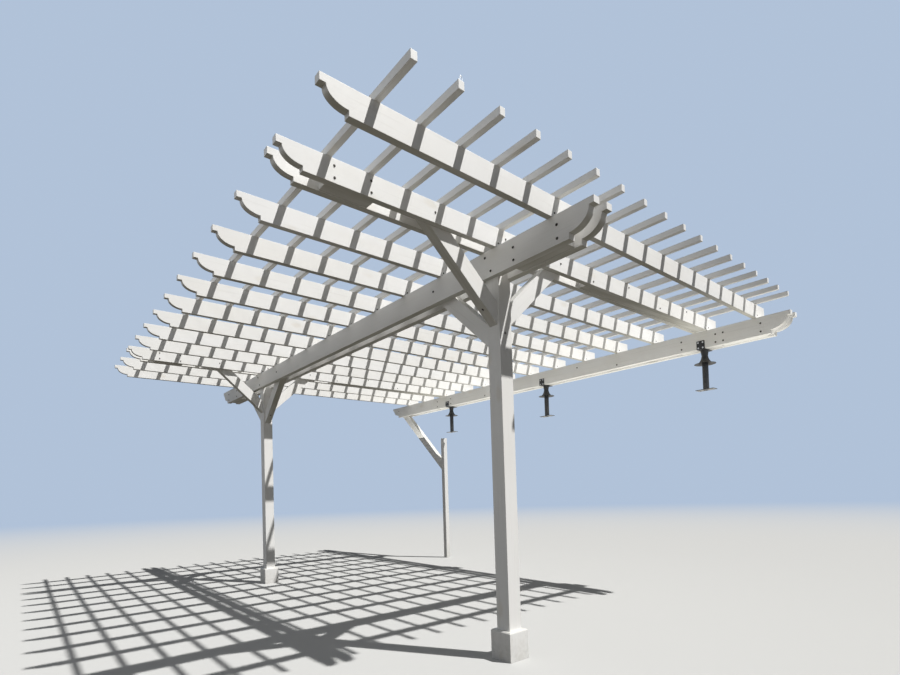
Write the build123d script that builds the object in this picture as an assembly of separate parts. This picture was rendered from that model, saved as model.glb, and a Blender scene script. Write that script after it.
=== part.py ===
from build123d import *
import math
import os

# Garden pergola on two front posts, with its rear beam carried over a roof on steel risers.
# Millimetres. Origin on the deck at the centre of the near right front post, +X along the
# beams to the near end, +Y along the rafters to the rear, +Z up.

# Rafter layout
rafter_pitch = 576.0
single_rafters_between_posts = 8
rafters_beyond_left_post = 2
rafters_beyond_right_post = 1
rafter_thickness = 50.0
rafter_depth = 163.0
rafter_front_overhang = 1964.0
rafter_rear_overhang = 148.0

# Beams
beam_spacing = 3900.0
beam_thickness = 65.0
beam_depth = 224.0
beam_top = 3397.0
beam_overhang_right = 1027.0
beam_overhang_left = 1866.0

# Scroll cut on rafter ends: nose, ledge, quarter round, fillet
rafter_nose = 45.0
rafter_ledge = 37.0
rafter_round_length = 132.0
rafter_fillet = 32.0

# Scroll cut on beam ends
beam_nose = 50.0
beam_ledge = 40.0
beam_round_length = 173.0
beam_fillet = 45.0

# Posts and their base wraps
post_side = 140.0
wrap_board = 38.0
wrap_height = 240.0
wrap_bevel = 10.0

# Knee braces, which also set the gap between paired boards
brace_thickness = 90.0
brace_depth = 140.0
brace_angle = 42.0
brace_rise = 625.0
beam_brace_rise = 575.0
brace_top_cover = 12.0
brace_clearance = 60.0
bolt_bore = 25.0
bolt_bore_depth = 14.0
bolt_bore_reach = 165.0

# Blocks between paired boards
block_inset = 6.0
beam_end_block_length = 510.0
beam_end_block_start = 240.0
riser_block_length = 520.0
block_break = 12.0
front_rafter_block_length = 366.0
front_rafter_block_start = 1256.0
rear_rafter_block_start = 1215.0

# Battens laid across the rafters
batten_width = 42.0
batten_height = 51.0
batten_count = 18
batten_overhang = 345.0
first_batten_setback = 347.5
last_batten_setback = 265.3
battens_per_group = 6

# Rear corner post and the kicker that runs up to the rear beam
corner_post_side = 90.0
corner_post_drop = 105.0
corner_post_offset = 140.0
kicker_depth = 140.0
kicker_angle = 43.5
kicker_foot_height = 1872.0

# Steel risers under the rear beam
left_riser_inset = 139.0
riser_pipe_diameter = 75.0
riser_pipe_wall = 5.0
riser_base_height = 2640.0
saddle_width = 102.0
saddle_plate = 6.0
saddle_cheek = 105.0
neck_top_diameter = 100.0
neck_height = 78.0
collar_diameter = 262.0
collar_height = 99.0
collar_sheet = 3.0
collar_brim_width = 46.0
collar_brim_fall = 10.0
collar_waist = 12.0
flange_length = 230.0
flange_width = 120.0
flange_plate = 8.0
flange_hole = 13.0
flange_hole_inset = 24.0

# Places worked out from the sizes above
pair_gap = brace_thickness
pair_pitch = pair_gap + rafter_thickness
post_span = (single_rafters_between_posts + 1) * rafter_pitch + pair_pitch
left_post_x = -post_span
beam_bottom = beam_top - beam_depth
rafter_top = beam_top + rafter_depth
beam_width = pair_gap + 2 * beam_thickness
beam_right_end = beam_overhang_right
beam_left_end = left_post_x - beam_overhang_left
rafter_front_end = -rafter_front_overhang
rafter_rear_end = beam_spacing + rafter_rear_overhang
batten_field = rafter_rear_end - rafter_front_end - first_batten_setback - last_batten_setback
batten_pitch = batten_field / (batten_count - 1)
corner_post_height = riser_base_height - corner_post_drop
middle_x = left_post_x / 2
riser_places = {"right": 0.0, "centre": middle_x, "left": left_post_x + left_riser_inset}
posts = {"right": 0.0, "left": left_post_x}

parts = {}


def box_between(x0, x1, y0, y1, z0, z1):
    """Solid box given by its limits."""
    return Pos((x0 + x1) / 2, (y0 + y1) / 2, (z0 + z1) / 2) * Box(x1 - x0, y1 - y0, z1 - z0)


def scroll_curve(end, direction, top, depth, nose, ledge, round_length, fillet):
    """Edges of one scroll-cut end, from the top corner down to the bottom edge.

    end is the tip, and direction (1 or -1) points from the tip into the board.
    """
    ledge_at = end + direction * ledge
    step_at = ledge_at + direction * round_length
    round_height = depth - nose - fillet
    nose_low = top - nose
    round_low = nose_low - round_height
    tip = Line((end, top), (end, nose_low))
    shelf = Line((end, nose_low), (ledge_at, nose_low))
    centre = (step_at, nose_low)
    if direction > 0:
        arc = EllipticalCenterArc(centre, round_length, round_height, start_angle=180, arc_size=90)
    else:
        arc = EllipticalCenterArc(centre, round_length, round_height, start_angle=270, arc_size=90)
    step = Line((step_at, round_low), (step_at, top - depth))
    return [tip, shelf, arc, step], step_at


def board_face(left, right, top, depth, left_scroll, right_scroll):
    """Side outline of a board, with a scroll cut at either end or a plain square end."""
    bottom = top - depth
    edges = [Line((left, top), (right, top))]
    bottom_left = left
    bottom_right = right
    if left_scroll:
        left_edges, bottom_left = scroll_curve(left, 1, top, depth, *left_scroll)
        edges += left_edges
    else:
        edges.append(Line((left, top), (left, bottom)))
    if right_scroll:
        right_edges, bottom_right = scroll_curve(right, -1, top, depth, *right_scroll)
        edges += right_edges
    else:
        edges.append(Line((right, top), (right, bottom)))
    edges.append(Line((bottom_left, bottom), (bottom_right, bottom)))
    return make_face(edges)


def beam_board(y0):
    """Beam board from y0 towards the rear, scroll cut at both ends."""
    scroll = (beam_nose, beam_ledge, beam_round_length, beam_fillet)
    outline = board_face(beam_left_end, beam_right_end, beam_top, beam_depth, scroll, scroll)
    plane = Plane(origin=(0, y0, 0), x_dir=(1, 0, 0), z_dir=(0, -1, 0))
    return extrude(plane * outline, amount=-beam_thickness)


def rafter_board(x_centre):
    """Rafter board centred on x_centre, scroll cut at the front and square at the rear."""
    scroll = (rafter_nose, rafter_ledge, rafter_round_length, rafter_fillet)
    outline = board_face(rafter_front_end, rafter_rear_end, rafter_top, rafter_depth, scroll, None)
    plane = Plane(origin=(x_centre - rafter_thickness / 2, 0, 0), x_dir=(0, 1, 0), z_dir=(1, 0, 0))
    return extrude(plane * outline, amount=rafter_thickness)


def front_post(x):
    """Square post cut to a tongue between the beam boards, and narrower between the rafters."""
    half = post_side / 2
    tongue = pair_gap / 2
    crown_top = rafter_top - brace_top_cover
    shaft = box_between(x - half, x + half, -half, half, 0, beam_bottom)
    head = box_between(x - half, x + half, -tongue, tongue, beam_bottom, beam_top)
    crown = box_between(x - tongue, x + tongue, -tongue, tongue, beam_top, crown_top)
    return shaft + head + crown


def post_wrap(x):
    """Boards mitred round the foot of a post, bevelled along the top."""
    side = post_side + 2 * wrap_board
    outer = Pos(x, 0, wrap_height / 2) * Box(side, side, wrap_height)
    top_edges = outer.edges().group_by(Axis.Z)[-1]
    outer = chamfer(top_edges, wrap_bevel)
    return outer - Pos(x, 0, wrap_height / 2) * Box(post_side, post_side, wrap_height)


def knee_brace(foot_height, top):
    """Brace in the XZ plane, from a post face at X=0 up and out towards +X.

    Plumb cut at the foot, level cut at the top, with a bolt recess in its lower face.
    """
    slope = math.tan(math.radians(brace_angle))
    heel = brace_depth / math.cos(math.radians(brace_angle))
    low = foot_height
    high = foot_height + heel
    outline = Polyline(
        (0, low),
        ((top - low) / slope, top),
        ((top - high) / slope, top),
        (0, high),
        close=True,
    )
    side = Plane(origin=(0, brace_thickness / 2, 0), x_dir=(1, 0, 0), z_dir=(0, -1, 0))
    brace = extrude(side * make_face(outline), amount=brace_thickness)
    along = bolt_bore_reach
    angle = math.radians(brace_angle)
    bore_x = along * math.cos(angle)
    bore_z = low + along * math.sin(angle)
    inward = (-math.sin(angle), 0, math.cos(angle))
    seat = Plane(origin=(bore_x, 0, bore_z), z_dir=inward)
    bore = seat * Cylinder(bolt_bore / 2, 2 * bolt_bore_depth)
    return brace - bore


def post_braces(name, x, beam_sides):
    """Front and rear braces of one post, and one along the beam for each named X direction."""
    half = post_side / 2
    rafter_foot = beam_top - brace_rise
    beam_foot = beam_bottom - beam_brace_rise
    rafter_top_cut = rafter_top - brace_top_cover
    beam_top_cut = beam_top - brace_top_cover
    front = Pos(x, -half, 0) * Rot(0, 0, -90) * knee_brace(rafter_foot, rafter_top_cut)
    rear = Pos(x, half, 0) * Rot(0, 0, 90) * knee_brace(rafter_foot, rafter_top_cut)
    parts["knee_brace_front_" + name] = front
    parts["knee_brace_rear_" + name] = rear
    for side_name, direction in beam_sides.items():
        turn = 0 if direction > 0 else 180
        place = Pos(x + direction * half, 0, 0) * Rot(0, 0, turn)
        parts["knee_brace_%s_%s" % (side_name, name)] = place * knee_brace(beam_foot, beam_top_cut)


def beam_blocks(y_centre, spans):
    """Blocks between the two boards of a beam, one for each span of X."""
    half = pair_gap / 2
    low = beam_bottom + block_inset
    return [box_between(x0, x1, y_centre - half, y_centre + half, low, beam_top) for x0, x1 in spans]


def rafter_blocks(x_centre):
    """Front and rear blocks between a pair of rafters."""
    half = pair_gap / 2
    low = beam_top + block_inset
    front_end = -front_rafter_block_start
    front_start = front_end - front_rafter_block_length
    rear_end = beam_spacing - beam_width / 2
    spans = [(front_start, front_end), (rear_rafter_block_start, rear_end)]
    return [box_between(x_centre - half, x_centre + half, y0, y1, low, rafter_top) for y0, y1 in spans]


def batten(index):
    """One batten lying across all the rafters."""
    right = rafter_right_face + batten_overhang
    left = rafter_left_face - batten_overhang
    middle = rafter_front_end + first_batten_setback + index * batten_pitch
    front = middle - batten_width / 2
    rear = middle + batten_width / 2
    return box_between(left, right, front, rear, rafter_top, rafter_top + batten_height)


def kicker(post_face):
    """Brace from the rear corner post up into the gap of the rear beam, leaning to -X."""
    angle = math.radians(kicker_angle)
    slope = math.tan(angle)
    low = kicker_foot_height
    high = low + kicker_depth / math.cos(angle)
    top = beam_top - brace_top_cover
    outline = Polyline(
        (post_face, low),
        (post_face - (top - low) / slope, top),
        (post_face - (top - high) / slope, top),
        (post_face, high),
        close=True,
    )
    side = Plane(origin=(0, beam_spacing + pair_gap / 2, 0), x_dir=(1, 0, 0), z_dir=(0, -1, 0))
    return extrude(side * make_face(outline), amount=pair_gap)


def roof_riser(x):
    """Saddle round the underside of the rear beam, tapered neck, pipe and base flange."""
    y = beam_spacing
    half = beam_width / 2
    seat_low = beam_bottom - saddle_plate
    seat = box_between(
        x - saddle_width / 2, x + saddle_width / 2,
        y - half - saddle_plate, y + half + saddle_plate, seat_low, beam_bottom,
    )
    cheek_top = beam_bottom + saddle_cheek
    for side in (-1, 1):
        inner = y + side * half
        outer = inner + side * saddle_plate
        y0, y1 = min(inner, outer), max(inner, outer)
        seat += box_between(x - saddle_width / 2, x + saddle_width / 2, y0, y1, seat_low, cheek_top)
    pipe_radius = riser_pipe_diameter / 2
    neck = Pos(x, y, seat_low - neck_height / 2) * Cone(
        pipe_radius, neck_top_diameter / 2, neck_height
    )
    pipe_length = seat_low - riser_base_height
    pipe = Pos(x, y, riser_base_height + pipe_length / 2) * Cylinder(pipe_radius, pipe_length)
    bore = Pos(x, y, riser_base_height + pipe_length / 2) * Cylinder(
        pipe_radius - riser_pipe_wall, pipe_length
    )
    flange_low = riser_base_height
    flange = Pos(x, y, flange_low + flange_plate / 2) * Box(flange_length, flange_width, flange_plate)
    hole_x = flange_length / 2 - flange_hole_inset
    hole_y = flange_width / 2 - flange_hole_inset
    for sx in (-1, 1):
        for sy in (-1, 1):
            place = Pos(x + sx * hole_x, y + sy * hole_y, flange_low + flange_plate / 2)
            flange -= place * Cylinder(flange_hole / 2, 2 * flange_plate)
    return seat + neck + pipe + flange - bore


def rain_collar(x):
    """Spun sheet collar round the riser pipe, just under the neck: a bell with a shallow brim."""
    pipe_radius = riser_pipe_diameter / 2
    neck_radius = pipe_radius + collar_sheet
    top_z = beam_bottom - saddle_plate - neck_height
    low_z = top_z - collar_height
    rim = collar_diameter / 2
    brim_start = rim - collar_brim_width
    brim_z = low_z + collar_brim_fall
    waist = (pipe_radius + brim_start) / 2 - collar_waist
    waist_z = (top_z + brim_z) / 2
    bell = make_face([
        Line((pipe_radius, top_z - collar_sheet), (pipe_radius, top_z)),
        Line((pipe_radius, top_z), (neck_radius, top_z)),
        ThreePointArc((neck_radius, top_z), (waist + collar_sheet, waist_z), (brim_start, brim_z)),
        Line((brim_start, brim_z), (rim, low_z)),
        Line((rim, low_z), (rim, low_z - collar_sheet)),
        Line((rim, low_z - collar_sheet), (brim_start, brim_z - collar_sheet)),
        ThreePointArc(
            (brim_start, brim_z - collar_sheet), (waist, waist_z), (pipe_radius, top_z - collar_sheet)
        ),
    ])
    profile = Plane.XZ * bell
    return Pos(x, beam_spacing, 0) * revolve(profile, Axis.Z)


# Rafters, numbered from the near right end; a pair stands over each post
rafter_x = {}
number = rafters_beyond_right_post
for step in range(rafters_beyond_right_post):
    place = pair_pitch / 2 + (rafters_beyond_right_post - step) * rafter_pitch
    rafter_x["rafter_%02d" % (step + 1)] = place
number += 1
rafter_x["rafter_%02d_right" % number] = pair_pitch / 2
rafter_x["rafter_%02d_left" % number] = -pair_pitch / 2
for step in range(single_rafters_between_posts):
    number += 1
    rafter_x["rafter_%02d" % number] = -pair_pitch / 2 - (step + 1) * rafter_pitch
number += 1
rafter_x["rafter_%02d_right" % number] = left_post_x + pair_pitch / 2
rafter_x["rafter_%02d_left" % number] = left_post_x - pair_pitch / 2
for step in range(rafters_beyond_left_post):
    number += 1
    rafter_x["rafter_%02d" % number] = left_post_x - pair_pitch / 2 - (step + 1) * rafter_pitch
for name, place in rafter_x.items():
    parts[name] = rafter_board(place)
rafter_right_face = max(rafter_x.values()) + rafter_thickness / 2
rafter_left_face = min(rafter_x.values()) - rafter_thickness / 2

# Posts, wraps and braces
for name, place in posts.items():
    parts["front_post_" + name] = front_post(place)
    parts["post_base_" + name] = post_wrap(place)
    parts["rafter_blocks_" + name] = Compound(children=rafter_blocks(place))
post_braces("right", posts["right"], {"inner": -1})
post_braces("left", posts["left"], {"inner": 1, "outer": -1})

# Beams
for beam_name, y_centre in (("front", 0.0), ("back", beam_spacing)):
    parts[beam_name + "_beam_outer"] = beam_board(y_centre - pair_gap / 2 - beam_thickness)
    parts[beam_name + "_beam_inner"] = beam_board(y_centre + pair_gap / 2)
block_end = beam_end_block_start + beam_end_block_length
right_block = (beam_end_block_start, block_end)
brace_reach = (beam_depth - brace_top_cover + beam_brace_rise) / math.tan(math.radians(brace_angle))
outer_brace_end = left_post_x - post_side / 2 - brace_reach
left_block_end = beam_left_end + beam_overhang_right - block_end
left_block_start = min(left_block_end + beam_end_block_length, outer_brace_end - brace_clearance)
left_block = (left_block_end, left_block_start)
parts["front_beam_blocks"] = Compound(children=beam_blocks(0.0, [left_block, right_block]))
outer_end = beam_end_block_start - block_break
inner_end = outer_end - riser_block_length
back_spans = [
    right_block,
    (inner_end, outer_end),
    (middle_x - riser_block_length / 2, middle_x + riser_block_length / 2),
    (left_post_x - outer_end, left_post_x - inner_end),
]
parts["back_beam_blocks"] = Compound(children=beam_blocks(beam_spacing, back_spans))

# Battens in groups of neighbours
for first in range(0, batten_count, battens_per_group):
    group = [batten(index) for index in range(first, min(first + battens_per_group, batten_count))]
    parts["battens_%d" % (first // battens_per_group + 1)] = Compound(children=group)

# Rear corner post and kicker
corner_x = left_post_x - corner_post_offset
parts["rear_corner_post"] = box_between(
    corner_x - corner_post_side / 2, corner_x + corner_post_side / 2,
    beam_spacing - corner_post_side / 2, beam_spacing + corner_post_side / 2,
    0, corner_post_height,
)
parts["rear_kicker_brace"] = kicker(corner_x - corner_post_side / 2)

# Steel risers and their rain collars
for name, place in riser_places.items():
    parts["roof_riser_" + name] = roof_riser(place)
parts["rain_collars"] = Compound(children=[rain_collar(place) for place in riser_places.values()])

os.makedirs("parts", exist_ok=True)
for name, solid in parts.items():
    export_step(solid, "parts/" + name + ".step")
print(len(parts), "nodes")
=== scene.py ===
import math
import re

import bmesh
import bpy
from bpy.props import FloatProperty, FloatVectorProperty, IntProperty
from mathutils import Matrix, Vector


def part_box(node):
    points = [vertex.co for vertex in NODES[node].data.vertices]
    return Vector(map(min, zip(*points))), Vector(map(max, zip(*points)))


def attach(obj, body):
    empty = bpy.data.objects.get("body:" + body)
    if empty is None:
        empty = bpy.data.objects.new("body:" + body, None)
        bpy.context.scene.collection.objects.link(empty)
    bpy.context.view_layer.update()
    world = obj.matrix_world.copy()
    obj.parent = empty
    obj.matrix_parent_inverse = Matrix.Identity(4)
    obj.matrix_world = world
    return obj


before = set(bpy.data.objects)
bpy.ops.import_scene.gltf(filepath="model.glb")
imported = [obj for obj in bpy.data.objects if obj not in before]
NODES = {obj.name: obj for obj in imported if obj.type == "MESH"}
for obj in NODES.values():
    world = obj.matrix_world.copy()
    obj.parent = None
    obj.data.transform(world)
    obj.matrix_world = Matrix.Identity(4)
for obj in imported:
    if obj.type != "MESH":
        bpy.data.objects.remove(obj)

bl_info = {
    "name": "Garden pergola finish",
    "version": (1, 0, 0),
    "blender": (4, 5, 0),
    "location": "3D View > Sidebar > Pergola",
    "description": "Painted timber, steel risers, bolts and screws of a garden pergola, with its stage",
    "category": "Object",
}

# Metres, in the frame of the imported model: +X along the beams to the near end, +Y to the rear

BODY = "root"
MERGE = 1e-5

POSTS = ("front_post_right", "front_post_left")
WRAPS = ("post_base_right", "post_base_left")
COLLARS = "rain_collars"
BATTENS = sorted(name for name in NODES if name.startswith("battens"))
RISERS = sorted(name for name in NODES if name.startswith("roof_riser"))
BRACES = sorted(name for name in NODES if "brace" in name)
RAFTERS = sorted(name for name in NODES if re.match(r"rafter_\d", name))
PAIRS = (("rafter_02", "rafter_blocks_right"), ("rafter_11", "rafter_blocks_left"))

# Directions that fastener heads face

RIGHT = Vector((1, 0, 0))
LEFT = Vector((-1, 0, 0))
REAR = Vector((0, 1, 0))
FRONT = Vector((0, -1, 0))
UP = Vector((0, 0, 1))

# Finishes of a fastener's washer and of its head; near-black washers and heads are dark metal and also
# painted shade of the counterbores round bolts

DULL_HEAD = ("dark_washer_and_recess_shade", "dull_zinc")
ALL_DARK_RECESS_SHADE = ("dark_washer_and_recess_shade", "dark_washer_and_recess_shade")
ALL_BRIGHT = ("bright_zinc", "bright_zinc")

# Two tones, metallic share and least roughness of each finish

FINISHES = {
    # Near-black washer finish: dark metal, and painted shade of a counterbore round a head
    "dark_washer_and_recess_shade": ((0.030, 0.027, 0.025), (0.060, 0.045, 0.035), 0.3, 0.5),
    "dull_zinc": ((0.20, 0.19, 0.18), (0.09, 0.075, 0.06), 0.7, 0.4),
    "bright_zinc": ((0.74, 0.75, 0.76), (0.50, 0.50, 0.49), 0.9, 0.28),
}

# Structural bolts: washers and hexagon heads, and on their far side a larger washer and a nut

HEXAGON = 6
WASHER_SIDES = 14
WASHER_THICKNESS = 0.0022
HEAD_HEIGHT = 0.006
NUT_WASHER_SHARE = 1.1
NUT_WASHER_THICKNESS = 0.0025
NUT_SHARE = 1.05
NUT_HEIGHT = 0.009

# Low cone on a head, as shares of the head's radius and height

CROWN_TOP = 0.6
CROWN_BASE = 0.9
CROWN_HEIGHT = 0.18

# Materials: texture shift between pieces, and the strength of each layer over the paint or the coat

PIECE_SHIFT = 37.0
NOISE_ROUGHNESS = 0.55
BEVEL_SAMPLES = 4
KNOT_STAIN = 0.16
LINE_GRIME = 0.10
# Share of rain-splashed dirt and painted shade low on the posts
SPLASH_GRIME_AND_SHADE = 0.34
EDGE_WEAR = 0.4
STEEL_TONES = ((0.012, 0.012, 0.013), (0.024, 0.023, 0.023))
STEEL_EDGE_RADIUS = 0.0015
STEEL_DUST = (0.20, 0.19, 0.17)
STEEL_DUST_SHARE = 0.45
RUBBED_STEEL = (0.19, 0.18, 0.17)
RUBBED_SHARE = 0.6

# Stage

FLOOR_SIDES = 96
FADE_START = 9.0
FADE_END = 42.0
SENSOR_WIDTH = 36.0
CLIP_END = 500.0


def solid_boxes(node):
    """Lowest and highest corner of each separate solid in a CAD node, in order of X, then Y."""
    mesh = bmesh.new()
    mesh.from_mesh(NODES[node].data)
    bmesh.ops.remove_doubles(mesh, verts=mesh.verts, dist=MERGE)
    left = set(mesh.verts)
    boxes = []
    while left:
        front = [left.pop()]
        found = list(front)
        while front:
            vert = front.pop()
            for edge in vert.link_edges:
                other = edge.other_vert(vert)
                if other in left:
                    left.remove(other)
                    front.append(other)
                    found.append(other)
        low = Vector([min(vert.co[axis] for vert in found) for axis in range(3)])
        high = Vector([max(vert.co[axis] for vert in found) for axis in range(3)])
        boxes.append((low, high))
    mesh.free()
    return sorted(boxes, key=lambda pair: (round(pair[0].x, 3), round(pair[0].y, 3)))


def middle(node):
    """Centre of a CAD node's box."""
    low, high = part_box(node)
    return (low + high) / 2


def brace_line(node):
    """Middle of the lowest edge of a brace, and the unit vector up along the brace."""
    low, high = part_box(node)
    points = [vert.co for vert in NODES[node].data.vertices]
    foot = min(points, key=lambda point: point.z)
    along = Vector((high.x - low.x, high.y - low.y, 0))
    axis = 0 if along.x > along.y else 1
    centre = (low + high) / 2
    start = centre.copy()
    start.z = foot.z
    start[axis] = foot[axis]
    end = centre.copy()
    end.z = high.z
    end[axis] = low[axis] if abs(foot[axis] - high[axis]) < MERGE else high[axis]
    return start, (end - start).normalized()


class PergolaPaint(bpy.types.PropertyGroup):
    """Colours and wear of the painted timber, and the painted shade on its undersides, upper faces and
    post feet.
    """

    paint: FloatVectorProperty(
        name="Paint", description="Main colour of the white paint", subtype="COLOR",
        default=(0.865, 0.862, 0.853), min=0.0, max=1.0,
    )
    warm_paint: FloatVectorProperty(
        name="Warm paint", description="Slightly yellowed paint of older coats", subtype="COLOR",
        default=(0.835, 0.822, 0.79), min=0.0, max=1.0,
    )
    stain: FloatVectorProperty(
        name="Knot stain", description="Resin that bleeds through the paint over a knot",
        subtype="COLOR", default=(0.56, 0.45, 0.27), min=0.0, max=1.0,
    )
    # Dirt colour, also used for the painted shade on undersides, upper faces and post feet
    grime_and_shade: FloatVectorProperty(
        name="Grime", description="Dust and mildew on undersides and upper faces", subtype="COLOR",
        default=(0.385, 0.375, 0.32), min=0.0, max=1.0,
    )
    mildew: FloatVectorProperty(
        name="Mildew", description="Olive streaks along the undersides", subtype="COLOR",
        default=(0.33, 0.32, 0.20), min=0.0, max=1.0,
    )
    timber: FloatVectorProperty(
        name="Bare timber", description="Weathered wood where paint has chipped off an edge",
        subtype="COLOR", default=(0.30, 0.24, 0.18), min=0.0, max=1.0,
    )
    # Shares of dirt and of painted shade on the undersides, for most timber and for the battens and back
    # beam
    underside_grime_and_shade: FloatProperty(
        name="Underside grime", description="How much the undersides are dulled",
        default=0.76, min=0.0, max=1.0, subtype="FACTOR",
    )
    batten_grime_and_shade: FloatProperty(
        name="Batten grime",
        description="How much the undersides of the battens and of the back beam are dulled",
        default=0.05, min=0.0, max=1.0, subtype="FACTOR",
    )
    streaks: FloatProperty(
        name="Streaks", description="Strength of the streaks along the undersides",
        default=0.12, min=0.0, max=1.0, subtype="FACTOR",
    )
    # Share of weathering and painted shade on the upper faces
    top_wear_and_shade: FloatProperty(
        name="Top wear", description="How much rain and sun have dulled the upper faces",
        default=0.48, min=0.0, max=1.0, subtype="FACTOR",
    )
    # Rain-splashed dirt and painted shade darken the posts up to about this height
    splash_and_shade_height: FloatProperty(
        name="Splash height", description="Height up to which posts are dirtied by rain splash",
        default=0.30, min=0.0, max=1.0, subtype="DISTANCE", unit="LENGTH",
    )
    edge_radius: FloatProperty(
        name="Eased edge", description="Radius to which the board edges look eased",
        default=0.004, min=0.0, max=0.01, subtype="DISTANCE", unit="LENGTH",
    )


class PergolaHardware(bpy.types.PropertyGroup):
    """Sizes of bolts, screws and the hook, and the seed of their turns."""

    bolt_washer: FloatProperty(
        name="Bolt washer radius", description="Radius of the washer face under a bolt head",
        default=0.0108, min=0.004, max=0.03, subtype="DISTANCE", unit="LENGTH",
    )
    bolt_head: FloatProperty(
        name="Bolt head radius", description="Radius over the corners of a hexagon bolt head",
        default=0.0065, min=0.003, max=0.02, subtype="DISTANCE", unit="LENGTH",
    )
    saddle_head: FloatProperty(
        name="Saddle bolt radius", description="Radius over the corners of a saddle bolt head",
        default=0.0085, min=0.003, max=0.02, subtype="DISTANCE", unit="LENGTH",
    )
    screw_head: FloatProperty(
        name="Screw head radius", description="Radius of a batten screw head",
        default=0.0045, min=0.001, max=0.01, subtype="DISTANCE", unit="LENGTH",
    )
    hook_wire: FloatProperty(
        name="Hook wire", description="Diameter of the wire of the line hook",
        default=0.0045, min=0.001, max=0.01, subtype="DISTANCE", unit="LENGTH",
    )
    turn_seed: IntProperty(
        name="Turn seed", description="Seed for the random turn of each head",
        default=7, min=0, max=999,
    )


class PergolaStage(bpy.types.PropertyGroup):
    """Floor, light and camera."""

    floor_colour: FloatVectorProperty(
        name="Floor", description="Pale floor, as the camera sees it", subtype="COLOR",
        default=(0.50, 0.50, 0.49), min=0.0, max=1.0,
    )
    bounce_colour: FloatVectorProperty(
        name="Floor bounce", description="Floor colour that lights the undersides",
        subtype="COLOR", default=(0.128, 0.121, 0.107), min=0.0, max=1.0,
    )
    backdrop_colour: FloatVectorProperty(
        name="Backdrop", description="Pale backdrop", subtype="COLOR",
        default=(0.44, 0.54, 0.69), min=0.0, max=1.0,
    )
    fill_colour: FloatVectorProperty(
        name="Fill light", description="Soft light from all round", subtype="COLOR",
        default=(0.095, 0.102, 0.115), min=0.0, max=1.0,
    )
    floor_radius: FloatProperty(
        name="Floor radius", description="Radius of the round floor",
        default=60.0, min=10.0, max=200.0, subtype="DISTANCE", unit="LENGTH",
    )
    key_strength: FloatProperty(
        name="Key light", description="Strength of the key light", default=4.85, min=0.0, max=10.0,
    )
    key_softness: FloatProperty(
        name="Key softness", description="Angle over which the key light spreads",
        default=math.radians(0.8), min=0.0, max=1.0, subtype="ANGLE", unit="ROTATION",
    )
    front_power: FloatProperty(
        name="Front light", description="Power of the soft panel high up in front",
        default=152.0, min=0.0, max=2000.0, subtype="POWER", unit="POWER",
    )
    rear_power: FloatProperty(
        name="Rear light", description="Power of the soft panel that lights the rear from below",
        default=42.0, min=0.0, max=500.0, subtype="POWER", unit="POWER",
    )
    lens: FloatProperty(
        name="Lens", description="Focal length of the camera in millimetres, on a 36 mm sensor",
        default=20.635, min=8.0, max=200.0,
    )
    camera_place: FloatVectorProperty(
        name="Camera place", description="Where the camera stands", subtype="TRANSLATION",
        unit="LENGTH", default=(3.0137, -3.1590, 1.3951),
    )
    camera_heading: FloatProperty(
        name="Heading", description="Camera heading from +Y towards +X", default=-0.88441,
        subtype="ANGLE", unit="ROTATION",
    )
    camera_pitch: FloatProperty(
        name="Pitch", description="Upward pitch of the camera", default=0.02828,
        subtype="ANGLE", unit="ROTATION",
    )
    camera_roll: FloatProperty(
        name="Roll", description="Roll of the camera", default=0.02905,
        subtype="ANGLE", unit="ROTATION",
    )
    camera_shift: FloatVectorProperty(
        name="Shift", description="Lens shift, as a share of the frame's width", size=2,
        default=(0.0102, 0.1552),
    )


def opaque(colour):
    """A colour as the four numbers that its socket takes; a linked socket stays as it is."""
    if isinstance(colour, bpy.types.NodeSocket):
        return colour
    return (colour[0], colour[1], colour[2], 1.0)


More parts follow.
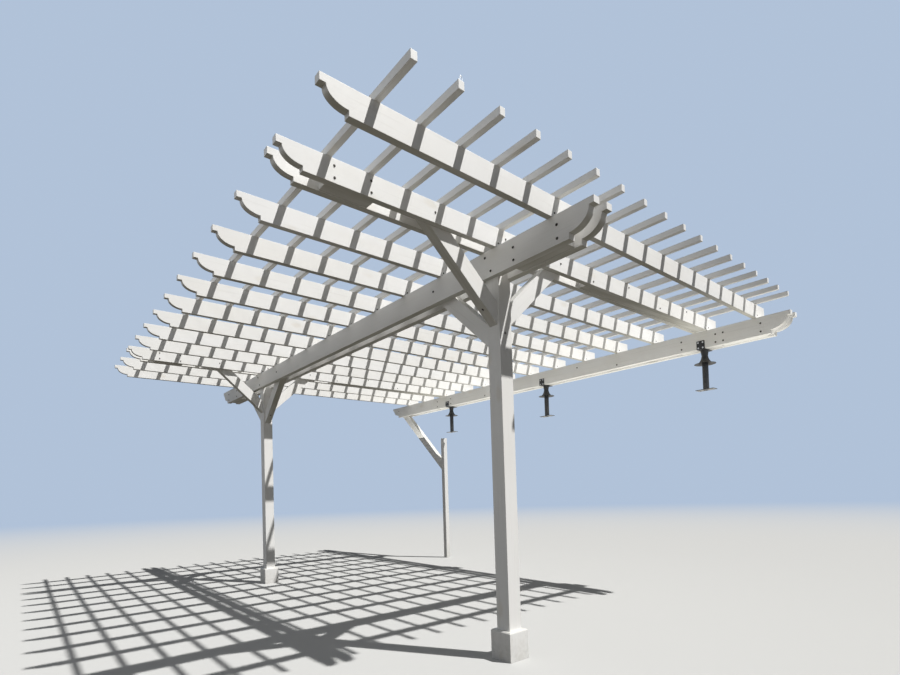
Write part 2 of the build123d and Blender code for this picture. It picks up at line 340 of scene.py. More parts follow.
class NodeSheet:
    """Small helper that adds and links the nodes of a material or a node group."""

    def __init__(self, tree):
        self.tree = tree

    def add(self, kind, inputs=None, **settings):
        node = self.tree.nodes.new(kind)
        for key, value in settings.items():
            setattr(node, key, value)
        self.fill(node, inputs or {})
        return node

    def fill(self, node, inputs):
        """Set or link inputs of a node, given by name or by place."""
        for key, value in inputs.items():
            if isinstance(value, bpy.types.NodeSocket):
                self.tree.links.new(value, node.inputs[key])
            elif isinstance(value, bpy.types.Node):
                self.tree.links.new(value.outputs[0], node.inputs[key])
            else:
                node.inputs[key].default_value = value

    def math(self, operation, *values, clamp=False):
        inputs = dict(enumerate(values))
        return self.add("ShaderNodeMath", inputs, operation=operation, use_clamp=clamp).outputs[0]

    def vector_math(self, operation, *values):
        """Both outputs of a vector operation: its Vector and its Value."""
        inputs = dict(enumerate(values))
        return self.add("ShaderNodeVectorMath", inputs, operation=operation).outputs

    def ramp(self, value, low, high):
        """0 below low, 1 above high, smooth between; low may be the larger one."""
        inputs = {"Value": value, "From Min": low, "From Max": high}
        return self.add("ShaderNodeMapRange", inputs, interpolation_type="SMOOTHSTEP").outputs[0]

    def mix(self, factor, first, second):
        """First colour at factor 0, second at 1. The node's colour sockets are told by place."""
        inputs = {0: factor, 6: opaque(first), 7: opaque(second)}
        return self.add("ShaderNodeMix", inputs, data_type="RGBA").outputs[2]

    def layer(self, colour, cover, mask, share):
        """The colour under a cover that is as strong as the mask times its share."""
        return self.mix(self.math("MULTIPLY", mask, share), colour, cover)

    def noise(self, vector, scale, detail=3.0):
        inputs = {"Vector": vector, "Scale": scale, "Detail": detail, "Roughness": NOISE_ROUGHNESS}
        return self.add("ShaderNodeTexNoise", inputs).outputs["Fac"]

    def stretch(self, vector, scale):
        return self.add("ShaderNodeMapping", {"Vector": vector, "Scale": scale}).outputs[0]

    def grained(self, board, along, across, scale=1.0, detail=3.0):
        """Noise with one scale along a board and another one across it."""
        return self.noise(self.stretch(board, (along, across, across)), scale, detail)

    def eased_edge(self, radius, low, high):
        """Normal that rounds the edges, and a mask that shows where it does."""
        eased = self.add("ShaderNodeBevel", {"Radius": radius}, samples=BEVEL_SAMPLES).outputs[0]
        normal = self.add("ShaderNodeNewGeometry").outputs["Normal"]
        turned = self.vector_math("DOT_PRODUCT", eased, normal)["Value"]
        return eased, self.ramp(turned, low, high)

    def seen(self):
        """1 for rays from the camera, from glossy faces and through clear ones."""
        path = self.add("ShaderNodeLightPath").outputs
        direct = self.math("MAXIMUM", path["Is Camera Ray"], path["Is Glossy Ray"])
        return self.math("MAXIMUM", direct, path["Is Transmission Ray"])


def blank_material(name):
    """New material with only an output and a Principled shader."""
    material = bpy.data.materials.new(name)
    material.use_nodes = True
    material.node_tree.nodes.clear()
    sheet = NodeSheet(material.node_tree)
    shader = sheet.add("ShaderNodeBsdfPrincipled")
    sheet.add("ShaderNodeOutputMaterial", {"Surface": shader})
    return material, sheet, shader


def painted_timber(name, grain, settings, shade_and_grime_share=None, splash_and_shade=False):
    """White exterior paint on sawn timber whose grain runs along the vector given.

    A share given as the fourth argument replaces the settings' share of dirt and painted shade on the
    undersides.
    """
    if shade_and_grime_share is None:
        shade_and_grime_share = settings.underside_grime_and_shade
    material, sheet, shader = blank_material(name)
    place = sheet.add("ShaderNodeTexCoord").outputs["Object"]
    turn = Vector(grain).rotation_difference(RIGHT).to_euler()
    board = sheet.add("ShaderNodeMapping", {"Vector": place, "Rotation": turn})
    apart = sheet.add("ShaderNodeObjectInfo").outputs["Random"]
    shift = sheet.math("MULTIPLY", apart, PIECE_SHIFT)
    board = sheet.vector_math("ADD", board, shift)["Vector"]

    cloudy = sheet.grained(board, along=0.7, across=3.0, scale=1.6)
    streaky = sheet.grained(board, along=1.6, across=55.0, detail=4.0)
    fibres = sheet.grained(board, along=9.0, across=420.0, detail=2.0)
    brushed = sheet.grained(board, along=14.0, across=190.0, detail=2.0)
    mottled = sheet.noise(board, 26.0, detail=4.0)

    patches = sheet.math("MULTIPLY", sheet.ramp(cloudy, 0.35, 0.75), 0.6)
    age = sheet.math("ADD", patches, sheet.math("MULTIPLY", apart, 0.35), clamp=True)
    colour = sheet.mix(age, settings.paint, settings.warm_paint)

    cells = {"Vector": sheet.stretch(board, (2.3, 5.0, 5.0)), "Scale": 1.0}
    knots = sheet.add("ShaderNodeTexVoronoi", cells).outputs
    dice = sheet.add("ShaderNodeSeparateColor", {"Color": knots["Color"]})
    chosen = sheet.math("GREATER_THAN", dice, 0.45)
    rim = sheet.math("ADD", knots["Distance"], sheet.math("MULTIPLY", mottled, 0.10))
    knot = sheet.math("MULTIPLY", sheet.ramp(rim, 0.27, 0.12), chosen)
    colour = sheet.layer(colour, settings.stain, knot, KNOT_STAIN)
    colour = sheet.layer(colour, settings.grime_and_shade, sheet.ramp(streaky, 0.56, 0.74), LINE_GRIME)

    # Undersides darken, patchy with the clouds: partly dirt, partly painted shade; the same mask adds
    # roughness
    normal = sheet.add("ShaderNodeNewGeometry").outputs["Normal"]
    facing = sheet.add("ShaderNodeSeparateXYZ", {"Vector": normal}).outputs["Z"]
    under = sheet.ramp(facing, -0.35, -0.8)
    patchy = sheet.math("MULTIPLY_ADD", sheet.ramp(cloudy, 0.3, 0.7), 0.5, 0.5)
    under_grime_and_shade = sheet.math("MULTIPLY", sheet.math("MULTIPLY", under, patchy), shade_and_grime_share)
    colour = sheet.mix(under_grime_and_shade, colour, settings.grime_and_shade)
    runs = sheet.math("MULTIPLY", sheet.ramp(streaky, 0.47, 0.62), settings.streaks)
    colour = sheet.layer(colour, settings.mildew, under, runs)
    # Upper faces darken towards the dirt colour: weathering and painted shade
    colour = sheet.layer(colour, settings.grime_and_shade, sheet.ramp(facing, 0.3, 0.8), settings.top_wear_and_shade)

    # Low on the posts: rain-splashed dirt and painted shade, ragged at the top
    if splash_and_shade:
        height = sheet.add("ShaderNodeSeparateXYZ", {"Vector": place}).outputs["Z"]
        drips = sheet.noise(sheet.stretch(place, (34.0, 34.0, 2.2)), 1.0, detail=4.0)
        rise = sheet.math("MULTIPLY", drips, settings.splash_and_shade_height * 2)
        low_down = sheet.ramp(sheet.math("DIVIDE", height, rise), 1.0, 0.0)
        splashed_and_shaded = sheet.math("MULTIPLY", low_down, sheet.ramp(mottled, 0.1, 0.8))
        colour = sheet.layer(colour, settings.grime_and_shade, splashed_and_shaded, SPLASH_GRIME_AND_SHADE)

    eased, edge = sheet.eased_edge(settings.edge_radius, 0.985, 0.93)
    worn = sheet.math("MULTIPLY", edge, sheet.ramp(mottled, 0.60, 0.66))
    colour = sheet.layer(colour, settings.timber, worn, EDGE_WEAR)

    relief = sheet.math("MULTIPLY", fibres, 0.5)
    relief = sheet.math("ADD", relief, sheet.math("MULTIPLY", brushed, 0.8))
    relief = sheet.math("SUBTRACT", relief, sheet.math("MULTIPLY", knot, 0.5))
    relief = sheet.math("SUBTRACT", relief, worn)
    bump = sheet.add("ShaderNodeBump", {
        "Strength": 0.35, "Distance": 0.0012, "Height": relief, "Normal": eased})
    sheen = sheet.math("MULTIPLY_ADD", mottled, 0.25, 0.44)
    sheet.fill(shader, {
        "Base Color": colour, "Roughness": sheet.math("ADD", sheen, under_grime_and_shade, clamp=True),
        "Specular IOR Level": 0.32, "Normal": bump})
    return material


def coated_steel(name):
    """Black powder coat with fine orange peel, dust on its upper faces and rubbed edges."""
    material, sheet, shader = blank_material(name)
    place = sheet.add("ShaderNodeTexCoord").outputs["Object"]
    peel = sheet.noise(place, 620.0, detail=1.0)
    cloudy = sheet.noise(place, 14.0, detail=4.0)
    normal = sheet.add("ShaderNodeNewGeometry").outputs["Normal"]
    up = sheet.add("ShaderNodeSeparateXYZ", {"Vector": normal}).outputs["Z"]
    dust = sheet.math("MULTIPLY", sheet.ramp(up, 0.1, 0.9), sheet.ramp(cloudy, 0.35, 0.65))
    colour = sheet.mix(sheet.ramp(cloudy, 0.3, 0.75), *STEEL_TONES)
    colour = sheet.layer(colour, STEEL_DUST, dust, STEEL_DUST_SHARE)
    eased, edge = sheet.eased_edge(STEEL_EDGE_RADIUS, 0.99, 0.94)
    rubbed = sheet.math("MULTIPLY", edge, sheet.ramp(cloudy, 0.5, 0.6))
    colour = sheet.layer(colour, RUBBED_STEEL, rubbed, RUBBED_SHARE)
    bump = sheet.add("ShaderNodeBump", {
        "Strength": 0.2, "Distance": 0.0004, "Height": peel, "Normal": eased})
    rough = sheet.math("MULTIPLY_ADD", cloudy, 0.25, 0.32)
    rough = sheet.math("ADD", rough, sheet.math("MULTIPLY", dust, 0.3))
    sheet.fill(shader, {"Base Color": colour, "Roughness": rough, "Normal": bump})
    return material


def fastener_metal(name, first, second, metallic, roughness):
    """Metal of bolts and screws, mottled between two tones."""
    material, sheet, shader = blank_material(name)
    place = sheet.add("ShaderNodeTexCoord").outputs["Object"]
    cloudy = sheet.noise(place, 180.0, detail=4.0)
    colour = sheet.mix(sheet.ramp(cloudy, 0.38, 0.66), first, second)
    bump = sheet.add("ShaderNodeBump", {"Strength": 0.3, "Distance": 0.0003, "Height": cloudy})
    rough = sheet.math("MULTIPLY_ADD", cloudy, 0.3, roughness)
    sheet.fill(shader, {
        "Base Color": colour, "Metallic": metallic, "Roughness": rough, "Normal": bump})
    return material


def finish_material(key):
    """A fastener finish, made once."""
    if key in bpy.data.materials:
        return bpy.data.materials[key]
    return fastener_metal(key, *FINISHES[key])


def head_tree():
    """Geometry Nodes tree that sets a washer and a head on each point, turned along its facing."""
    if "fastener_heads" in bpy.data.node_groups:
        return bpy.data.node_groups["fastener_heads"]
    tree = bpy.data.node_groups.new("fastener_heads", "GeometryNodeTree")
    inputs = {
        "Points": "Geometry",
        "Washer radius": "Float",
        "Washer thickness": "Float",
        "Washer sides": "Int",
        "Head radius": "Float",
        "Head height": "Float",
        "Head sides": "Int",
        "Turn seed": "Int",
        "Washer material": "Material",
        "Head material": "Material",
    }
    for name, kind in inputs.items():
        tree.interface.new_socket(name, in_out="INPUT", socket_type="NodeSocket" + kind)
    tree.interface.new_socket("Heads", in_out="OUTPUT", socket_type="NodeSocketGeometry")
    sheet = NodeSheet(tree)
    given = sheet.add("NodeGroupInput").outputs
    thickness = given["Washer thickness"]
    radius = given["Head radius"]
    height = given["Head height"]

    def raised(shape, level):
        """A shape moved up to a level."""
        move = sheet.add("ShaderNodeCombineXYZ", {"Z": level})
        return sheet.add("GeometryNodeTransform", {
            "Geometry": shape.outputs["Mesh"], "Translation": move})

    washer = sheet.add("GeometryNodeMeshCylinder", {
        "Vertices": given["Washer sides"], "Radius": given["Washer radius"], "Depth": thickness})
    washer = raised(washer, sheet.math("MULTIPLY", thickness, 0.5))
    washer = sheet.add("GeometryNodeStoreNamedAttribute", {
        "Geometry": washer, "Name": "washer", "Value": True}, data_type="BOOLEAN", domain="FACE")
    head = sheet.add("GeometryNodeMeshCylinder", {
        "Vertices": given["Head sides"], "Radius": radius, "Depth": height})
    head = raised(head, sheet.math("MULTIPLY_ADD", height, 0.5, thickness))
    crown = sheet.add("GeometryNodeMeshCone", {
        "Vertices": given["Head sides"],
        "Radius Top": sheet.math("MULTIPLY", radius, CROWN_TOP),
        "Radius Bottom": sheet.math("MULTIPLY", radius, CROWN_BASE),
        "Depth": sheet.math("MULTIPLY", height, CROWN_HEIGHT)})
    crown = raised(crown, sheet.math("ADD", thickness, height))
    joined = sheet.add("GeometryNodeJoinGeometry")
    for piece in (washer, head, crown):
        tree.links.new(piece.outputs[0], joined.inputs[0])

    facing = sheet.add("GeometryNodeInputNamedAttribute", {"Name": "facing"}, data_type="FLOAT_VECTOR")
    aligned = sheet.add("FunctionNodeAlignRotationToVector", {"Vector": facing}, axis="Z")
    # Input 3 is the largest value, and output 1 the value: their names are shared with other sockets
    angle = sheet.add("FunctionNodeRandomValue", {3: math.tau, "Seed": given["Turn seed"]})
    twist = sheet.add("FunctionNodeAxisAngleToRotation", {"Angle": angle.outputs[1]})
    turned = sheet.add("FunctionNodeRotateRotation", {
        "Rotation": aligned, "Rotate By": twist}, rotation_space="LOCAL")
    placed = sheet.add("GeometryNodeInstanceOnPoints", {
        "Points": given["Points"], "Instance": joined, "Rotation": turned})
    real = sheet.add("GeometryNodeRealizeInstances", {"Geometry": placed})
    heads = sheet.add("GeometryNodeSetMaterial", {"Geometry": real, "Material": given["Head material"]})
    flat = sheet.add("GeometryNodeInputNamedAttribute", {"Name": "washer"}, data_type="BOOLEAN")
    done = sheet.add("GeometryNodeSetMaterial", {
        "Geometry": heads, "Selection": flat, "Material": given["Washer material"]})
    sheet.add("NodeGroupOutput", {"Heads": done})
    return tree


def plain_mesh(piece):
    """What an object's modifiers or its curve make, as a plain mesh."""
    bpy.context.view_layer.update()
    graph = bpy.context.evaluated_depsgraph_get()
    return bpy.data.meshes.new_from_object(piece.evaluated_get(graph))


def cover(mesh, material):
    """Give a mesh one material."""
    mesh.materials.clear()
    mesh.materials.append(material)


def set_heads(name, spots, metals, sizes, seed_step=0):
    """Fastener heads on a list of (place, facing) pairs, as one plain mesh that rides on the frame.

    metals are the finishes of the washer and of the head.
    """
    points = bpy.data.meshes.new(name)
    points.from_pydata([place for place, facing in spots], [], [])
    attribute = points.attributes.new("facing", "FLOAT_VECTOR", "POINT")
    for item, (place, facing) in zip(attribute.data, spots):
        item.vector = facing
    piece = bpy.data.objects.new(name, points)
    bpy.context.scene.collection.objects.link(piece)
    modifier = piece.modifiers.new("Heads", "NODES")
    modifier.node_group = head_tree()
    washer_metal, head_metal = [finish_material(key) for key in metals]
    seed = bpy.context.scene.pergola_hardware.turn_seed + seed_step
    values = {"Turn seed": seed, "Washer material": washer_metal, "Head material": head_metal, **sizes}
    for item in modifier.node_group.interface.items_tree:
        if item.in_out == "INPUT" and item.name in values:
            modifier[item.identifier] = values[item.name]
    plain = plain_mesh(piece)
    plain.name = name
    piece.modifiers.clear()
    piece.data = plain
    bpy.data.meshes.remove(points)
    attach(piece, BODY)


def head_sizes(washer, head):
    """Inputs of the tree: radius, thickness and number of sides of the washer, then of the head."""
    names = (
        "Washer radius", "Washer thickness", "Washer sides", "Head radius", "Head height", "Head sides",
    )
    return dict(zip(names, (*washer, *head)))


def bolt_sizes(hardware, share=1.0):
    """Washer and hexagon head of the structural bolts; share makes a lighter bolt."""
    washer = (hardware.bolt_washer * share, WASHER_THICKNESS, WASHER_SIDES)
    return head_sizes(washer, (hardware.bolt_head * share, HEAD_HEIGHT * share, HEXAGON))


def nut_sizes(hardware):
    """Washer and nut on the far side of a through bolt."""
    washer = (hardware.bolt_washer * NUT_WASHER_SHARE, NUT_WASHER_THICKNESS, WASHER_SIDES)
    return head_sizes(washer, (hardware.bolt_head * NUT_SHARE, NUT_HEIGHT, HEXAGON))


class PERGOLA_OT_paint_timber(bpy.types.Operator):
    """Paint the boards, posts, braces and blocks, with the grain along each piece"""

    bl_idname = "pergola.paint_timber"
    bl_label = "Paint timber"

    def execute(self, context):
        settings = context.scene.pergola_paint
        along_x = painted_timber("paint_along_beam", (1, 0, 0), settings)
        # Battens and the back beam take a smaller share of dirt and painted shade on their undersides
        less_grime_and_shade = painted_timber("paint_along_batten", (1, 0, 0), settings, settings.batten_grime_and_shade)
        along_y = painted_timber("paint_along_rafter", (0, 1, 0), settings)
        along_z = painted_timber("paint_along_post", (0, 0, 1), settings, splash_and_shade=True)
        for name, piece in NODES.items():
            if name in RISERS or name == COLLARS:
                continue
            if name in BRACES:
                material = painted_timber("paint_" + name, brace_line(name)[1], settings)
            elif name in BATTENS or name.startswith("back_beam"):
                material = less_grime_and_shade
            elif "beam" in name:
                material = along_x
            elif name.startswith("rafter"):
                material = along_y
            else:
                material = along_z
            cover(piece.data, material)
        return {"FINISHED"}


class PERGOLA_OT_coat_risers(bpy.types.Operator):
    """Give the risers and rain collars their black powder coat"""

    bl_idname = "pergola.coat_risers"
    bl_label = "Coat risers"

    def execute(self, context):
        material = coated_steel("black_powder_coat")
        for name in (*RISERS, COLLARS):
            cover(NODES[name].data, material)
        return {"FINISHED"}


class PERGOLA_OT_beam_bolts(bpy.types.Operator):
    """Set the through bolts of both beams: at blocks, post tongues, braces and between them"""

    bl_idname = "pergola.beam_bolts"
    bl_label = "Beam bolts"

    low_row = 0.045
    high_row = 0.147
    column_inset = 0.040
    tongue_bolts = ((-0.037, 0.177), (0.024, 0.047))
    brace_bolt = (0.740, 0.117)
    stitch_bolts = ((-1.229, 0.047), (-1.937, 0.148), (-3.353, 0.148), (-4.061, 0.047))
    kicker_bolt = (-6.959, 0.148)

    def columns(self, node):
        """Bolt places (x, height over the beam's underside) at the ends of each block.

        The block in mid span has none, because the centre saddle's own bolts hold it.
        """
        mid_span = (middle(POSTS[0]).x + middle(POSTS[1]).x) / 2
        places = []
        for low, high in solid_boxes(node):
            if not low.x < mid_span < high.x:
                for x in (low.x + self.column_inset, high.x - self.column_inset):
                    places += [(x, self.low_row), (x, self.high_row)]
        return places

    def execute(self, context):
        right = middle(POSTS[0]).x
        left = middle(POSTS[1]).x
        front = self.columns("front_beam_blocks")
        for post_x, brace_sides in ((right, (-1,)), (left, (1, -1))):
            front += [(post_x + dx, dz) for dx, dz in self.tongue_bolts]
            front += [(post_x + side * self.brace_bolt[0], self.brace_bolt[1]) for side in brace_sides]
        back = self.columns("back_beam_blocks")
        back += [*self.stitch_bolts, self.kicker_bolt]
        heads = []
        nuts = []
        for beam, places in (("front", front), ("back", back)):
            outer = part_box(beam + "_beam_outer")[0]
            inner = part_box(beam + "_beam_inner")[1]
            for x, dz in places:
                heads.append((Vector((x, outer.y, outer.z + dz)), FRONT))
                nuts.append((Vector((x, inner.y, outer.z + dz)), REAR))
        hardware = context.scene.pergola_hardware
        # Near-black washers and heads on the outer faces: dark metal and painted shade of the
        # counterbores round the bolts
        set_heads("beam_bolt_heads", heads, ALL_DARK_RECESS_SHADE, bolt_sizes(hardware))
        set_heads("beam_bolt_nuts", nuts, DULL_HEAD, nut_sizes(hardware), seed_step=1)
        return {"FINISHED"}


class PERGOLA_OT_rafter_bolts(bpy.types.Operator):
    """Set the bolts through the double rafters, and the toe screws that hold rafters to beams"""

    bl_idname = "pergola.rafter_bolts"
    bl_label = "Rafter bolts"

    low_row = 0.035
    high_row = 0.115
    column_inset = 0.045
    head_bolt = (0.008, 0.094)
    brace_reach = 0.746
    brace_row = 0.079
    stagger = 0.654
    stagger_high_row = 0.125
    free_staggers = 1.5
    bolt_share = 0.8
    toe_row = 0.036
    toe_washer = (0.0075, 0.0015, 12)
    toe_head = (0.0045, 0.003, HEXAGON)

    def places(self, blocks):
        """Bolt places (y, height over the rafters' underside) along a double rafter."""
        front_block, rear_block = solid_boxes(blocks)
        places = [self.head_bolt]
        for y in (-self.brace_reach, self.brace_reach):
            places.append((y, self.brace_row))
        for y in (front_block[0].y + self.column_inset, front_block[1].y - self.column_inset):
            places += [(y, self.low_row), (y, self.high_row)]
        y = rear_block[0].y + self.column_inset
        places.append((y, self.low_row))
        high = True
        while y < middle("back_beam_outer").y - self.stagger * self.free_staggers:
            y += self.stagger
            places.append((y, self.stagger_high_row if high else self.low_row))
            high = not high
        return places

    def execute(self, context):
        heads = []
        nuts = []
        for pair, blocks in PAIRS:
            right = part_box(pair + "_right")[1]
            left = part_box(pair + "_left")[0]
            for y, dz in self.places(blocks):
                heads.append((Vector((right.x, y, left.z + dz)), RIGHT))
                nuts.append((Vector((left.x, y, left.z + dz)), LEFT))
        toes = []
        for name in RAFTERS:
            if not name.endswith("left"):
                low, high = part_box(name)
                for beam in ("front_beam_outer", "back_beam_outer"):
                    toes.append((Vector((high.x, middle(beam).y, low.z + self.toe_row)), RIGHT))
        hardware = context.scene.pergola_hardware
        # Near-black washers round the heads: dark metal and painted shade of the counterbores
        set_heads("rafter_bolt_heads", heads, DULL_HEAD, bolt_sizes(hardware, self.bolt_share))
        set_heads("rafter_bolt_nuts", nuts, DULL_HEAD, nut_sizes(hardware), seed_step=1)
        set_heads("toe_screws", toes, DULL_HEAD, head_sizes(self.toe_washer, self.toe_head))
        return {"FINISHED"}


class PERGOLA_OT_brace_bolts(bpy.types.Operator):
    """Set the bolt in the recess at each knee brace's foot, and the end of one on the right post"""

    bl_idname = "pergola.brace_bolts"
    bl_label = "Brace bolts"

    recess_reach = 0.165
    recess_depth = 0.014
    # A thick near-black washer fills most of the recess: painted shade of the recess round the bolt
    recess_shade_washer = {"Washer radius": 0.0120, "Washer thickness": 0.0080}
    through_end = (-0.007, 2.705)

    def execute(self, context):
        spots = []
        y, z = self.through_end
        ends = [(Vector((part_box(POSTS[0])[1].x, middle(POSTS[0]).y + y, z)), RIGHT)]
        for name in BRACES:
            if name.startswith("knee"):
                start, along = brace_line(name)
                level = Vector((along.x, along.y, 0)).normalized()
                outward = (level * along.z - UP * along.dot(level)).normalized()
                seat = start + along * self.recess_reach - outward * self.recess_depth
                spots.append((seat, outward))
        sizes = bolt_sizes(context.scene.pergola_hardware)
        set_heads("brace_bolt_heads", spots, ALL_DARK_RECESS_SHADE, sizes | self.recess_shade_washer)
        set_heads("brace_bolt_ends", ends, DULL_HEAD, sizes)
        return {"FINISHED"}


class PERGOLA_OT_saddle_bolts(bpy.types.Operator):
    """Set four bright bolts on each cheek of the riser saddles"""

    bl_idname = "pergola.saddle_bolts"
    bl_label = "Saddle bolts"

    half_pitch = 0.029
    rows = (0.012, 0.083)
    washer = (0.0105, 0.002, 16)
    head_height = 0.0055

    def execute(self, context):
        beam_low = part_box("back_beam_outer")[0].z
        spots = []
        for name in RISERS:
            low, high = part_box(name)
            x = (low.x + high.x) / 2
            for y, facing in ((low.y, FRONT), (high.y, REAR)):
                for dx in (-self.half_pitch, self.half_pitch):
                    for dz in self.rows:
                        spots.append((Vector((x + dx, y, beam_low + dz)), facing))
        head = (context.scene.pergola_hardware.saddle_head, self.head_height, HEXAGON)
        set_heads("saddle_bolts", spots, ALL_BRIGHT, head_sizes(self.washer, head))
        return {"FINISHED"}


class PERGOLA_OT_batten_screws(bpy.types.Operator):
    """Set one screw through each batten at every rafter"""

    bl_idname = "pergola.batten_screws"
    bl_label = "Batten screws"

    rim_height = 0.0008
    rim_sides = 10
    drive_share = 0.5
    drive_height = 0.0004
    drive_sides = 4

    def execute(self, context):
        spots = []
        for node in BATTENS:
            for low, high in solid_boxes(node):
                y = (low.y + high.y) / 2
                for name in RAFTERS:
                    spots.append((Vector((middle(name).x, y, high.z)), UP))
        radius = context.scene.pergola_hardware.screw_head
        rim = (radius, self.rim_height, self.rim_sides)
        drive = (radius * self.drive_share, self.drive_height, self.drive_sides)
        set_heads("batten_screws", spots, ALL_BRIGHT, head_sizes(rim, drive))
        return {"FINISHED"}


class PERGOLA_OT_wrap_nails(bpy.types.Operator):
    """Set the finishing nails round the post base wraps"""

    bl_idname = "pergola.wrap_nails"
    bl_label = "Wrap nails"

    side_inset = 0.030
    rows = (0.055, 0.185)
    rim = (0.0028, 0.0005, 8)
    dome = (0.0018, 0.0003, 6)

    def execute(self, context):
        spots = []
        for name in WRAPS:
            low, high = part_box(name)
            for z in self.rows:
                for x in (low.x + self.side_inset, high.x - self.side_inset):
                    for y, facing in ((low.y, FRONT), (high.y, REAR)):
                        spots.append((Vector((x, y, z)), facing))
                for y in (low.y + self.side_inset, high.y - self.side_inset):
                    for x, facing in ((low.x, LEFT), (high.x, RIGHT)):
                        spots.append((Vector((x, y, z)), facing))
        set_heads("wrap_nails", spots, ALL_BRIGHT, head_sizes(self.rim, self.dome))
        return {"FINISHED"}


class PERGOLA_OT_line_hook(bpy.types.Operator):
    """Bend the small wire hook on the near end of the second batten, and set the nail beside it"""

    bl_idname = "pergola.line_hook"
    bl_label = "Line hook"

    # Bends are (y, z) from the foot: into the timber, up, over the top and down again
    bends = ((-0.002, -0.004), (-0.001, 0.0216), (0.004, 0.036), (0.018, 0.0036))
    end_inset = 0.010
    bevel_steps = 3
    nail_inset = 0.006
    nail_shank = (0.0035, 0.0025, 12)
    nail_head = (0.0045, 0.002, 12)

    def execute(self, context):
        low, high = sorted(solid_boxes(BATTENS[0]), key=lambda pair: pair[0].y)[1]
        foot = Vector((high.x - self.end_inset, (low.y + high.y) / 2, high.z))
        curve = bpy.data.curves.new("line_hook", "CURVE")
        curve.dimensions = "3D"
        curve.bevel_depth = context.scene.pergola_hardware.hook_wire / 2
        curve.bevel_resolution = self.bevel_steps
        curve.use_fill_caps = True
        spline = curve.splines.new("BEZIER")
        spline.bezier_points.add(len(self.bends) - 1)
        for point, (y, z) in zip(spline.bezier_points, self.bends):
            point.co = foot + Vector((0, y, z))
            point.handle_left_type = "AUTO"
            point.handle_right_type = "AUTO"
        bent = bpy.data.objects.new("line_hook_bent", curve)
        bpy.context.scene.collection.objects.link(bent)
        mesh = plain_mesh(bent)
        bpy.data.objects.remove(bent)
        mesh.name = "line_hook"
        cover(mesh, finish_material("bright_zinc"))
        hook = bpy.data.objects.new("line_hook", mesh)
        bpy.context.scene.collection.objects.link(hook)
        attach(hook, BODY)
        nail = Vector((high.x - self.nail_inset, low.y + self.nail_inset, high.z))
        set_heads("hook_nail", [(nail, UP)], ALL_BRIGHT, head_sizes(self.nail_shank, self.nail_head))
        return {"FINISHED"}


def stage_floor(settings):
    """Round pale floor that fades into the backdrop far away."""
    disc = bmesh.new()
    bmesh.ops.create_circle(disc, cap_ends=True, segments=FLOOR_SIDES, radius=settings.floor_radius)
    mesh = bpy.data.meshes.new("stage_floor")
    disc.to_mesh(mesh)
    disc.free()
    floor = bpy.data.objects.new("stage_floor", mesh)
    bpy.context.scene.collection.objects.link(floor)
    material = bpy.data.materials.new("pale_floor")
    material.use_nodes = True
    material.node_tree.nodes.clear()
    sheet = NodeSheet(material.node_tree)
    seen = sheet.seen()
    colour = sheet.mix(seen, settings.bounce_colour, settings.floor_colour)
    diffuse = sheet.add("ShaderNodeBsdfDiffuse", {"Color": colour})
    glow = sheet.add("ShaderNodeEmission", {"Color": opaque(settings.backdrop_colour)})
    place = sheet.add("ShaderNodeTexCoord").outputs["Object"]
    far = sheet.ramp(sheet.vector_math("LENGTH", place)["Value"], FADE_START, FADE_END)
    blend = sheet.add("ShaderNodeMixShader", {0: sheet.math("MULTIPLY", far, seen), 1: diffuse, 2: glow})
    sheet.add("ShaderNodeOutputMaterial", {"Surface": blend})
    mesh.materials.append(material)


def stage_world(settings):
    """Backdrop colour for the camera, soft fill for everything else."""
    world = bpy.data.worlds.new("studio")
    bpy.context.scene.world = world
    world.use_nodes = True
    world.node_tree.nodes.clear()
    sheet = NodeSheet(world.node_tree)
    colour = sheet.mix(sheet.seen(), settings.fill_colour, settings.backdrop_colour)
    light = sheet.add("ShaderNodeBackground", {"Color": colour, "Strength": 1.0})
    sheet.add("ShaderNodeOutputWorld", {"Surface": light})


def stage_sun(name, towards, strength, softness, colour):
    """Far lamp that shines from the direction given."""
    lamp = bpy.data.lights.new(name, "SUN")
    lamp.energy = strength
    lamp.angle = softness
    lamp.color = colour
    holder = bpy.data.objects.new(name, lamp)
    holder.rotation_euler = Vector(towards).to_track_quat("Z", "Y").to_euler()
    bpy.context.scene.collection.objects.link(holder)


def stage_panel(name, place, aim, size, power, colour):
    """Soft panel that shines from its place towards the aim, and isn't seen by the camera."""
    lamp = bpy.data.lights.new(name, "AREA")
    lamp.shape = "RECTANGLE"
    lamp.size, lamp.size_y = size
    lamp.energy = power
    lamp.color = colour
    holder = bpy.data.objects.new(name, lamp)
    holder.location = place
    holder.rotation_euler = (Vector(place) - Vector(aim)).to_track_quat("Z", "Y").to_euler()
    holder.visible_camera = False
    bpy.context.scene.collection.objects.link(holder)


def stage_camera(settings):
    """Camera at the photograph's place, with the lens shift that its framing needs."""
    data = bpy.data.cameras.new("view")
    data.sensor_fit = "HORIZONTAL"
    data.sensor_width = SENSOR_WIDTH
    data.lens = settings.lens
    data.shift_x, data.shift_y = settings.camera_shift
    data.clip_end = CLIP_END
    camera = bpy.data.objects.new("view", data)
    turn = (
        Matrix.Rotation(-settings.camera_heading, 4, "Z")
        @ Matrix.Rotation(math.pi / 2 + settings.camera_pitch, 4, "X")
        @ Matrix.Rotation(-settings.camera_roll, 4, "Z")
    )
    camera.matrix_world = Matrix.Translation(settings.camera_place) @ turn
    bpy.context.scene.collection.objects.link(camera)
    bpy.context.scene.camera = camera


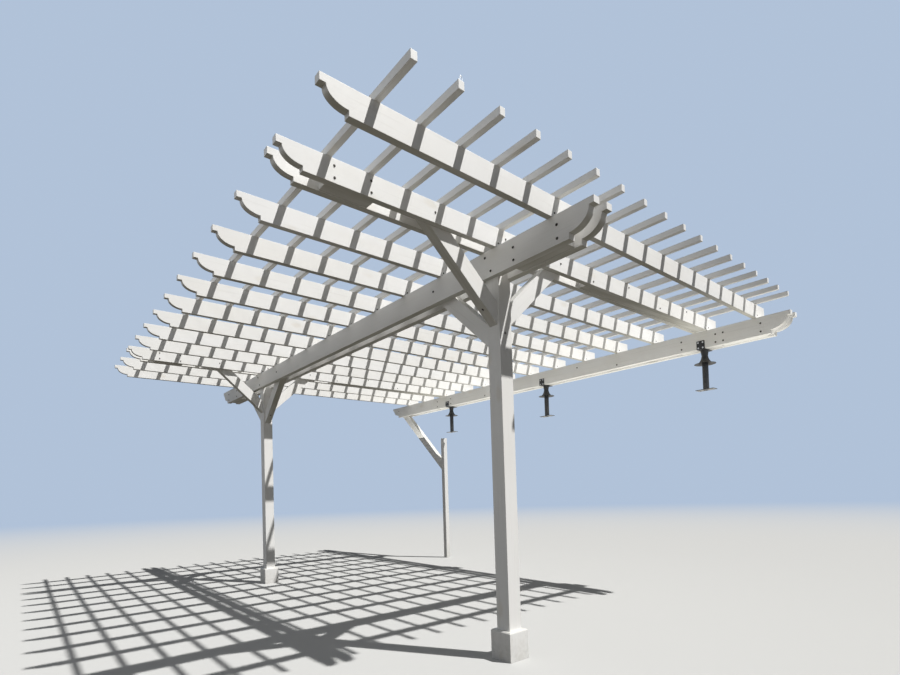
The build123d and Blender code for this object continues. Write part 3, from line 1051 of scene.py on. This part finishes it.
class PERGOLA_OT_stage(bpy.types.Operator):
    """Set up the floor, the backdrop, the lights and the camera"""

    bl_idname = "pergola.stage"
    bl_label = "Stage"

    key_from = (0.474, 0.274, 0.837)
    key_colour = (1.0, 0.99, 0.97)
    front_place = (-3.2, -7.0, 6.8)
    front_aim = (-2.7, 0.0, 3.2)
    front_size = (13.0, 3.0)
    front_colour = (0.96, 0.98, 1.0)
    rear_place = (-2.6, 3.80, 2.62)
    rear_aim = (-2.6, 3.80, 3.62)
    rear_size = (8.6, 1.2)
    rear_colour = (1.0, 0.99, 0.92)

    def execute(self, context):
        settings = context.scene.pergola_stage
        stage_floor(settings)
        stage_world(settings)
        stage_sun("key", self.key_from, settings.key_strength, settings.key_softness, self.key_colour)
        stage_panel("front", self.front_place, self.front_aim, self.front_size,
                    settings.front_power, self.front_colour)
        stage_panel("rear", self.rear_place, self.rear_aim, self.rear_size,
                    settings.rear_power, self.rear_colour)
        stage_camera(settings)
        context.scene.view_settings.view_transform = "Standard"
        return {"FINISHED"}


OPERATORS = (
    PERGOLA_OT_paint_timber,
    PERGOLA_OT_coat_risers,
    PERGOLA_OT_beam_bolts,
    PERGOLA_OT_rafter_bolts,
    PERGOLA_OT_brace_bolts,
    PERGOLA_OT_saddle_bolts,
    PERGOLA_OT_batten_screws,
    PERGOLA_OT_wrap_nails,
    PERGOLA_OT_line_hook,
    PERGOLA_OT_stage,
)
GROUPS = (
    ("pergola_paint", PergolaPaint),
    ("pergola_hardware", PergolaHardware),
    ("pergola_stage", PergolaStage),
)


class PERGOLA_PT_sidebar(bpy.types.Panel):
    """Buttons and settings of the pergola's finish"""

    bl_label = "Pergola"
    bl_idname = "PERGOLA_PT_sidebar"
    bl_space_type = "VIEW_3D"
    bl_region_type = "UI"
    bl_category = "Pergola"

    def draw(self, context):
        for operator in OPERATORS:
            self.layout.operator(operator.bl_idname)
        for key, group in GROUPS:
            box = self.layout.box()
            for name in group.__annotations__:
                box.prop(getattr(context.scene, key), name)


def register():
    for key, group in GROUPS:
        bpy.utils.register_class(group)
        setattr(bpy.types.Scene, key, bpy.props.PointerProperty(type=group))
    for operator in OPERATORS:
        bpy.utils.register_class(operator)
    bpy.utils.register_class(PERGOLA_PT_sidebar)


def unregister():
    bpy.utils.unregister_class(PERGOLA_PT_sidebar)
    for operator in reversed(OPERATORS):
        bpy.utils.unregister_class(operator)
    for key, group in GROUPS:
        delattr(bpy.types.Scene, key)
        bpy.utils.unregister_class(group)


def main():
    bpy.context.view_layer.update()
    register()
    for operator in OPERATORS:
        group, name = operator.bl_idname.split(".")
        getattr(getattr(bpy.ops, group), name)()


if __name__ == "__main__":
    main()
